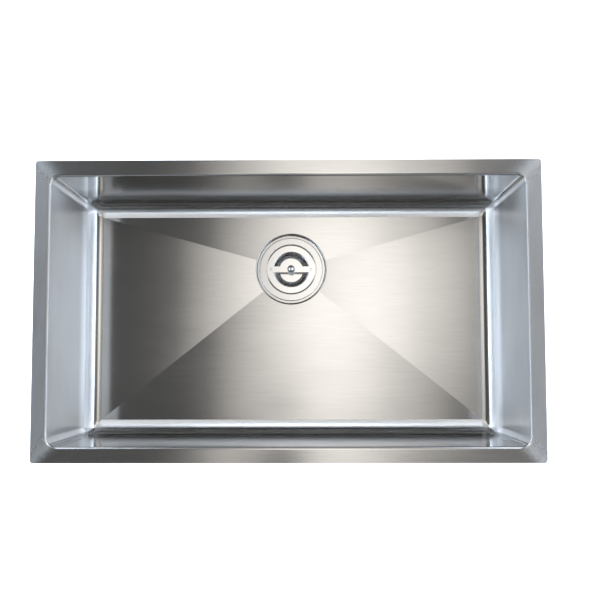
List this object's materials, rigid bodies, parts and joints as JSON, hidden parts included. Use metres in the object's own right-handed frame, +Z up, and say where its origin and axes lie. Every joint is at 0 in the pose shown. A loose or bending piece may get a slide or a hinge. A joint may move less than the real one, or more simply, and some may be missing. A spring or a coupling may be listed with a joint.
{
  "type": "undermount kitchen sink",
  "caption": "Undermount single-bowl stainless steel kitchen sink with a creased floor, sprayed underside, rubber pads and a lift-out basket strainer with a stopper.",
  "frame": {"origin": "middle of the bowl's opening in the top plane of the rim, where the worktop's underside rests", "axes": "+X along the sink's length to the right, +Y to the back wall where the drain is, +Z up"},
  "size_m": [0.8128, 0.4826, 0.318],
  "materials": {
    "bowl_steel": "satin, brushed along the sheet",
    "undercoat": "sprayed, pebbled",
    "pad_rubber": "matt sheet",
    "strainer_steel": "pressed, fine satin",
    "gasket_foam": "closed-cell foam",
    "washer_rubber": "moulded, matt",
    "ring_fibre": "pressed fibre",
    "nut_metal": "cast and plated, matt",
    "basket_steel": "pressed and polished",
    "bush_plastic": "moulded",
    "stem_steel": "turned",
    "knob_chrome": "polished",
    "seal_rubber": "moulded, matt"
  },
  "bodies": {
    "sink": {"sink_bowl": "bowl_steel", "undercoat": "undercoat", "floor_pad_left": "pad_rubber", "floor_pad_right": "pad_rubber", "floor_pad_front": "pad_rubber", "wall_pad_right": "pad_rubber", "wall_pad_back": "pad_rubber", "wall_pad_left": "pad_rubber", "wall_pad_front": "pad_rubber", "strainer_body": "strainer_steel", "flange_gasket": "gasket_foam", "rubber_washer": "washer_rubber", "friction_ring": "ring_fibre", "locknut": "nut_metal", "outlet_cross": "strainer_steel"},
    "basket": {"basket_cup": "basket_steel", "basket_handle": "basket_steel", "handle_rivets": "basket_steel", "guide_bush": "bush_plastic"},
    "stopper": {"stem": "stem_steel", "knob": "knob_chrome", "stopper_plate": "stem_steel", "stopper_seal": "seal_rubber", "stem_nut": "stem_steel", "grip_ring": "stem_steel"}
  },
  "joints": [
    {"name": "basket_lift", "type": "slide", "parent": "sink", "child": "basket", "axis": [0, 0, 1], "range_m": [0, 0.325]},
    {"name": "stopper_pull", "type": "slide", "parent": "basket", "child": "stopper", "axis": [0, 0, 1], "range_m": [0, 0.008]}
  ]
}
